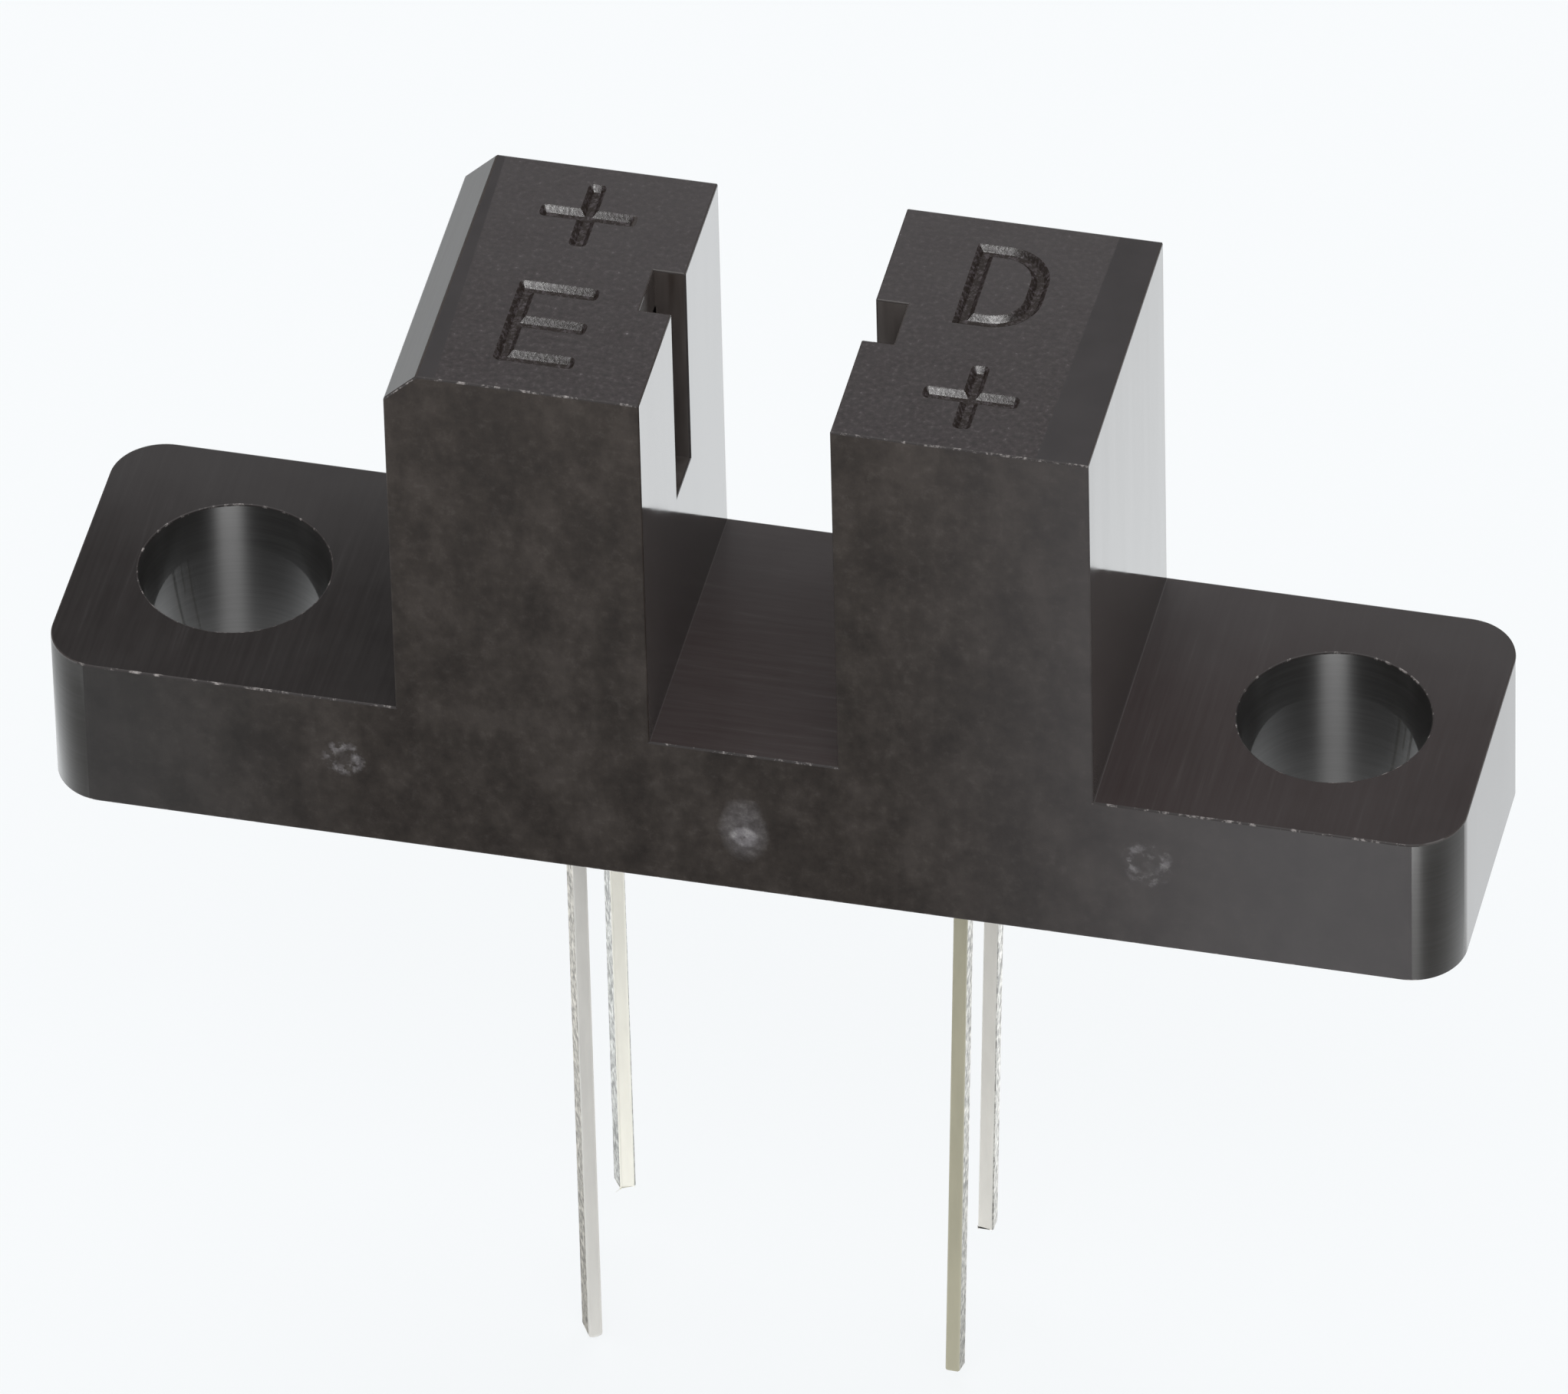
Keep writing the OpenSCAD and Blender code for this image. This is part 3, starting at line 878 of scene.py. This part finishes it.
# %% Turn the round walls
def turned_wall(name, specular, coat, dark, light):
    """Round wall with fine rings around it, which stretch each highlight along the axis."""
    material, tree, shader, mm = new_finish(name, IOR=PLASTIC_IOR, Roughness=0.38, Anisotropic=1.0,
                                            Coat_Weight=coat, Coat_Roughness=0.05, Coat_IOR=PLASTIC_IOR,
                                            Specular_IOR_Level=specular)
    upright = add_node(tree, "CombineXYZ", Z=1.0)
    rings = noise(tree, stretched(tree, mm, (0.5, 0.5, 14.0)), 1.0, 4.0, 0.6)
    colour = ramp(tree, rings, (0.3, dark), (0.7, light))
    feed(tree, shader, Base_Color=colour, Tangent=upright.outputs["Vector"])
    add_bump(tree, shader, rings, 2.0)
    return material


def inner_wall():
    """Matt black wall of the slits and cavities, with ejection streaks."""
    material, tree, shader, mm = new_finish("inner_wall", IOR=PLASTIC_IOR)
    streaks = noise(tree, stretched(tree, mm, (4.0, 4.0, 0.4)), 1.0, 3.0)
    colour = ramp(tree, streaks, (0.3, (0.05, 0.037, 0.031)), (0.7, (0.09, 0.073, 0.065)))
    feed(tree, shader, Base_Color=colour, Roughness=ramp(tree, streaks, (0.3, 0.4), (0.7, 0.55)))
    add_bump(tree, shader, streaks, 2.0)
    return material


TURNED_WALLS = {
    "bore_wall": (0.45, 0.4, (0.02, 0.019, 0.018), (0.034, 0.033, 0.032)),
    "round_corner": (0.42, 0.36, (0.027, 0.025, 0.022), (0.038, 0.036, 0.034)),
}
for finish, values in TURNED_WALLS.items():
    housing_materials[finish] = turned_wall(finish, *values)
housing_materials["inner_wall"] = inner_wall()
print("housing finishes so far:", len(housing_materials))

# %% [markdown]
# ## Flash and engraving
# These are the places where torn plastic shows grey. Tiny nicks along the edges catch the light from every
# side, so the edge finish turns pale only where a fine noise peaks: these pale specks are painted glints.
# The engraving is spark eroded like the tops, so its walls glitter where they face the light.

# %% Torn and eroded places
PLASTIC = (0.021, 0.0145, 0.0120)


def torn_plastic(name, specular, grains, dark, pale, depth_um):
    """Plastic that goes from dark to pale as a noise rises from one level to another."""
    material, tree, shader, mm = new_finish(name, IOR=PLASTIC_IOR, Specular_IOR_Level=specular)
    nicks = noise(tree, mm, grains, 4.0, 0.7)
    colour = ramp(tree, nicks, (dark[0], dark[1:]), (pale[0], pale[1:]))
    feed(tree, shader, Base_Color=colour, Roughness=ramp(tree, nicks, (dark[0], 0.35), (pale[0], 0.6)))
    add_bump(tree, shader, nicks, depth_um)
    return material


# The flash's pale specks are painted glints.
housing_materials["flash_and_glints"] = torn_plastic("flash_and_glints", 0.3, 6.3, (0.53, 0.04, 0.034, 0.033),
                                               (0.74, 0.5, 0.46, 0.44), 6.0)
housing_materials["engraving"] = torn_plastic("engraving", 0.25, 14.0, (0.48, *PLASTIC),
                                              (0.72, 0.1, 0.085, 0.092), 9.0)
for finish in HOUSING_FINISHES:
    housing.data.materials.append(housing_materials[finish])
print("housing finishes:", len(housing.data.materials))

# %% [markdown]
# ## Tin plate
# Tin is a soft, pale metal that dulls to grey or to a yellow cast. On most faces of the leads it lies
# smooth, and on the broad ones it covers torn metal that glitters. Each lead gets a tint for the smooth
# faces and one for the rough ones, lighter or darker so that they paint the light and shade on that lead.


# %% Tin the leads
def tin_plate(name, tint, metallic, grains, contrast, rough, depth_um):
    """Tin in a tint that carries painted light and shade: one noise wavers its tint, its roughness and its
    surface.
    """
    material, tree, shader, mm = new_finish(name, Metallic=metallic)
    skin = noise(tree, stretched(tree, mm, grains), 1.0, 4.0, 0.65)
    dull, bright = (tuple(channel * share for channel in tint) for share in contrast)
    feed(tree, shader, Base_Color=ramp(tree, skin, (0.4, dull), (0.7, bright)),
         Roughness=ramp(tree, skin, (0.3, rough[0]), (0.7, rough[1])))
    add_bump(tree, shader, skin, depth_um)
    return material


SMOOTH_TIN = (0.15, (3.0, 3.0, 0.5), (0.95, 1.03), (0.32, 0.42), 2.0)
ROUGH_TIN = (0.8, (9.0, 9.0, 7.0), (0.5, 2.1), (0.5, 0.25), 12.0)
# Painted light and shade: each lead's tints are lighter or darker to stand in for the light that reaches it.
PAINTED_LIGHT_TINTS = {
    "led_cathode_lead": ((0.66, 0.65, 0.61), (0.23, 0.21, 0.17)),
    "led_anode_lead": ((1.0, 0.985, 0.88), (0.26, 0.26, 0.24)),
    "phototransistor_collector_lead": ((0.43, 0.41, 0.30), (0.29, 0.28, 0.25)),
    "phototransistor_emitter_lead": ((0.735, 0.72, 0.67), (0.37, 0.36, 0.33)),
}
for node, (smooth_lit_tint, rough_lit_tint) in PAINTED_LIGHT_TINTS.items():
    finishes = leads[node].data.materials
    finishes.append(tin_plate(node + "_smooth", smooth_lit_tint, *SMOOTH_TIN))
    finishes.append(tin_plate(node + "_rough", rough_lit_tint, *ROUGH_TIN))
print("tinned", len(leads), "leads")

# %% [markdown]
# ## Epoxy, dies and bond wires
# What is sealed in the towers keeps its shape from the frame and only gets finishes. The emitter's epoxy is
# smoky violet and lets infrared through, the detector's is nearly black, and the potting is dull. The dies
# and the gold wires are inside, and only someone who opens the part would see them.

# %% Finish the sealed pieces
EPOXY_IOR = 1.54


def clouded_epoxy(name, thin, thick, see_through):
    """Cast epoxy with faint clouds, clear to some share."""
    material, tree, shader, mm = new_finish(name, IOR=EPOXY_IOR, Transmission_Weight=see_through)
    clouds = noise(tree, mm, 1.2, 3.0)
    feed(tree, shader, Base_Color=ramp(tree, clouds, (0.3, thin), (0.7, thick)),
         Roughness=ramp(tree, clouds, (0.3, 0.08), (0.7, 0.18)))
    return material


def poured_epoxy():
    """Black potting with pinholes and a dull, slightly wavy skin."""
    material, tree, shader, mm = new_finish("poured_epoxy", IOR=EPOXY_IOR)
    skin = noise(tree, mm, 2.2, 3.0)
    pits = noise(tree, mm, 14.0, 2.0)
    colour = ramp(tree, skin, (0.3, (0.008, 0.008, 0.008)), (0.7, (0.016, 0.015, 0.015)))
    feed(tree, shader, Base_Color=colour, Roughness=ramp(tree, pits, (0.35, 0.55), (0.5, 0.34)))
    add_bump(tree, shader, blend(tree, 0.4, skin, pits), 12.0)
    return material


def sawn_die(name, body, metal):
    """A chip with saw lines on its flanks and metal tracks on its face."""
    material, tree, shader, mm = new_finish(name, Metallic=0.6)
    tracks = noise(tree, stretched(tree, mm, (4.0, 12.0, 12.0)), 1.0, 1.0)
    feed(tree, shader, Base_Color=ramp(tree, tracks, (0.48, body), (0.52, metal)),
         Roughness=ramp(tree, tracks, (0.45, 0.35), (0.55, 0.2)))
    return material


def drawn_gold():
    """Gold wire with fine draw lines."""
    material, tree, shader, mm = new_finish("drawn_gold", Metallic=1.0)
    lines = noise(tree, stretched(tree, mm, (30.0, 4.0, 30.0)), 1.0, 2.0)
    colour = ramp(tree, lines, (0.3, (0.75, 0.5, 0.16)), (0.7, (0.95, 0.72, 0.32)))
    feed(tree, shader, Base_Color=colour, Roughness=ramp(tree, lines, (0.3, 0.18), (0.7, 0.3)))
    return material


gold = drawn_gold()
sealed = {
    "led_lens_body": clouded_epoxy("led_epoxy", (0.10, 0.08, 0.14), (0.16, 0.13, 0.22), 0.5),
    "phototransistor_lens_body": clouded_epoxy("sensor_epoxy", (0.014, 0.010, 0.018),
                                               (0.022, 0.016, 0.028), 0.0),
    "led_die": sawn_die("led_chip", (0.06, 0.05, 0.045), (0.7, 0.52, 0.22)),
    "phototransistor_die": sawn_die("sensor_chip", (0.06, 0.08, 0.14), (0.55, 0.56, 0.58)),
    "led_bond_wire": gold,
    "phototransistor_bond_wire": gold,
}
for node, material in sealed.items():
    slots = frame["nodes"][node].material_slots
    for slot in slots:
        slot.material = material
    print(node, "takes", material.name, "in", len(slots), "slot")
potting_finish = poured_epoxy()
for maker in ("led", "phototransistor"):
    bpy.data.objects["poured_" + maker + "_potting"].data.materials.append(potting_finish)

# %% [markdown]
# ## Floor and light
# The switch stands over a white sweep, which also shows in its polished sides. The floor glows for what
# sees it directly or in a mirror, and takes part of its brightness from the lamps so that a soft shadow
# stays. In a mirror it dims to the right and has a grey patch in front of and under the switch, painted
# shade which keeps the tower walls from washing out. One large softbox hangs above and behind, so that the
# shadow falls to the front, and a smaller one near the camera gives the edges their glints. A strip that
# only mirrors see puts the streaks into the screw holes, and a light table below brightens the leads, which
# hang in the shade.

# %% Lay the floor
FLOOR_SIZE = 6.0
FLOOR_GLOW = 0.84
MIRROR_GLOW = 1.7
SHADE_CARD_GLOW = 0.32
SHADE_CARD_PLACE = (0.002, -0.017)
SHADE_CARD_REACH = (0.045, 0.019)
SHADE_CARD_EDGE = (0.5, 1.3)
DIM_RIGHT = (0.006, 0.019, 0.36)
FLOOR_PAINT = (0.9, 0.905, 0.91, 1)
FLOOR_LIGHT = (0.97, 0.995, 1.01, 1)
WHITE = (1, 1, 1, 1)


def glow_share(tree):
    """The share of glow: part for camera and glass rays, all for mirror rays, none for soft light."""
    path = add_node(tree, "LightPath").outputs
    seen = calculate(tree, "MAXIMUM", path["Is Camera Ray"], path["Is Transmission Ray"])
    return calculate(tree, "MULTIPLY_ADD", seen, FLOOR_GLOW, path["Is Glossy Ray"])


def glow_and_painted_shade(tree):
    """White for the camera, and for mirrors a sweep that dims to the right, with painted shade in front of
    and under the switch.
    """
    place = add_node(tree, "TexCoord").outputs["Object"]
    # Painted shade: a grey patch on the floor in front of and under the switch, which only mirrors see.
    away = distance(tree, place, (*SHADE_CARD_PLACE, cad_box[0].z), (*SHADE_CARD_REACH, 1))
    mirrored = add_node(tree, "MapRange", Value=away, From_Min=SHADE_CARD_EDGE[0], From_Max=SHADE_CARD_EDGE[1],
                        To_Min=SHADE_CARD_GLOW, To_Max=MIRROR_GLOW)
    mirrored.interpolation_type = "SMOOTHSTEP"
    dim = along(tree, place, "X", *DIM_RIGHT)
    dimmed = blend(tree, dim, mirrored.outputs["Result"], BLACK)
    glossy = add_node(tree, "LightPath").outputs["Is Glossy Ray"]
    return blend(tree, glossy, WHITE, dimmed)


def mixed_shader(tree, share, first, second):
    """Two shaders mixed by a share."""
    node = add_node(tree, "MixShader", Fac=share)
    tree.links.new(first, node.inputs[1])
    tree.links.new(second, node.inputs[2])
    return node.outputs["Shader"]


def white_sweep():
    """The floor's material: part glow and part white paint, and nothing when it is seen from below."""
    material = bpy.data.materials.new("white_sweep")
    material.use_nodes = True
    tree = material.node_tree
    tree.nodes.remove(tree.nodes["Principled BSDF"])
    paint = add_node(tree, "BsdfDiffuse", Color=FLOOR_PAINT).outputs["BSDF"]
    glow = add_node(tree, "Emission", Color=FLOOR_LIGHT, Strength=glow_and_painted_shade(tree)).outputs["Emission"]
    lit = mixed_shader(tree, glow_share(tree), paint, glow)
    below = add_node(tree, "NewGeometry").outputs["Backfacing"]
    clear = add_node(tree, "BsdfTransparent").outputs["BSDF"]
    feed(tree, tree.nodes["Material Output"], Surface=mixed_shader(tree, below, lit, clear))
    return material


floor_half = FLOOR_SIZE / 2
floor = as_object("floor", flat_plate((-floor_half, -floor_half), (floor_half, floor_half), cad_box[0].z))
floor.data.materials.append(white_sweep())
print(f"floor at {cad_box[0].z / MM:.2f} mm")

# %% Hang the lamps
CAMERA_TURN = 13.85


def softbox(name, azimuth, elevation, distance, width, height, power, rays="all"):
    """An area lamp that looks at the switch from a direction, for all rays or for one kind."""
    lamp = bpy.data.lights.new(name, "AREA")
    lamp.shape, lamp.size, lamp.size_y, lamp.energy = "RECTANGLE", width, height, power
    made = bpy.data.objects.new(name, lamp)
    turn, rise = math.radians(azimuth), math.radians(elevation)
    towards = Vector((math.sin(turn) * math.cos(rise), -math.cos(turn) * math.cos(rise), math.sin(rise)))
    made.location = towards * distance
    made.rotation_euler = towards.to_track_quat("Z", "Y").to_euler()
    made.visible_camera = False
    made.visible_diffuse = rays != "glossy"
    made.visible_glossy = rays != "diffuse"
    bpy.context.scene.collection.objects.link(made)
    print(f"{name}: {power} W at {azimuth}, {elevation}")


softbox("overhead_softbox", azimuth=180 + CAMERA_TURN, elevation=68, distance=0.45, width=0.4, height=0.3,
        power=0.6)
softbox("front_softbox", azimuth=CAMERA_TURN, elevation=60, distance=0.45, width=0.3, height=0.2, power=0.35)
softbox("glint_strip", azimuth=15.7, elevation=52, distance=0.21, width=0.078, height=0.063, power=1.4,
        rays="glossy")
softbox("light_table", azimuth=0, elevation=-90, distance=0.01235, width=0.06, height=0.05, power=0.0065,
        rays="diffuse")

# %% Set the world
ROOM = (0.55, 0.55, 0.56, 1)
ROOM_IN_MIRRORS = (0.28, 0.28, 0.28, 1)
BACKDROP = (0.985, 0.995, 1.0, 1)

world = bpy.data.worlds.new("studio")
bpy.context.scene.world = world
world.use_nodes = True
tree = world.node_tree
background = tree.nodes["Background"]
path = add_node(tree, "LightPath")
room = blend(tree, path.outputs["Is Glossy Ray"], ROOM, ROOM_IN_MIRRORS)
feed(tree, background, Color=blend(tree, path.outputs["Is Camera Ray"], room, BACKDROP))
print("world:", world.name)

# %% [markdown]
# ## Camera
# The photograph was taken with a long lens from the right and well above. Its direction, roll and distance
# were worked out from the corners of the housing, so they are given here as they were measured, and the
# camera's axes are put straight into its matrix.

# %% Place the camera
IMAGE_W = 2044
FOCAL_PX = 30000
SENSOR_W = 36.0
CLIP_NEAR = 0.02
CLIP_FAR = 20.0
CAMERA_RISE = 41.3
CAMERA_ROLL = -1.5
CAMERA_DISTANCE = 388.4
CAMERA_SHIFT = (0.068, -2.392)
AIM = Vector((0, 0, 5))

turn, rise, roll = (math.radians(angle) for angle in (CAMERA_TURN, CAMERA_RISE, CAMERA_ROLL))
level_right = Vector((math.cos(turn), math.sin(turn), 0))
backwards = Vector((math.sin(turn) * math.cos(rise), -math.cos(turn) * math.cos(rise), math.sin(rise)))
level_up = backwards.cross(level_right)
right = math.cos(roll) * level_right + math.sin(roll) * level_up
up = math.cos(roll) * level_up - math.sin(roll) * level_right
eye = AIM + CAMERA_SHIFT[0] * right + CAMERA_SHIFT[1] * up + CAMERA_DISTANCE * backwards

lens = bpy.data.cameras.new("portrait_lens")
lens.sensor_width = SENSOR_W
lens.lens = SENSOR_W * FOCAL_PX / IMAGE_W
lens.clip_start = CLIP_NEAR
lens.clip_end = CLIP_FAR
camera = bpy.data.objects.new("portrait_camera", lens)
camera.matrix_world = Matrix.Translation(eye * MM) @ Matrix((right, up, backwards)).transposed().to_4x4()
bpy.context.scene.collection.objects.link(camera)
bpy.context.scene.camera = camera
bpy.context.scene.view_settings.view_transform = "Standard"
print(f"lens {lens.lens:.0f} mm, {CAMERA_DISTANCE:.0f} mm away")
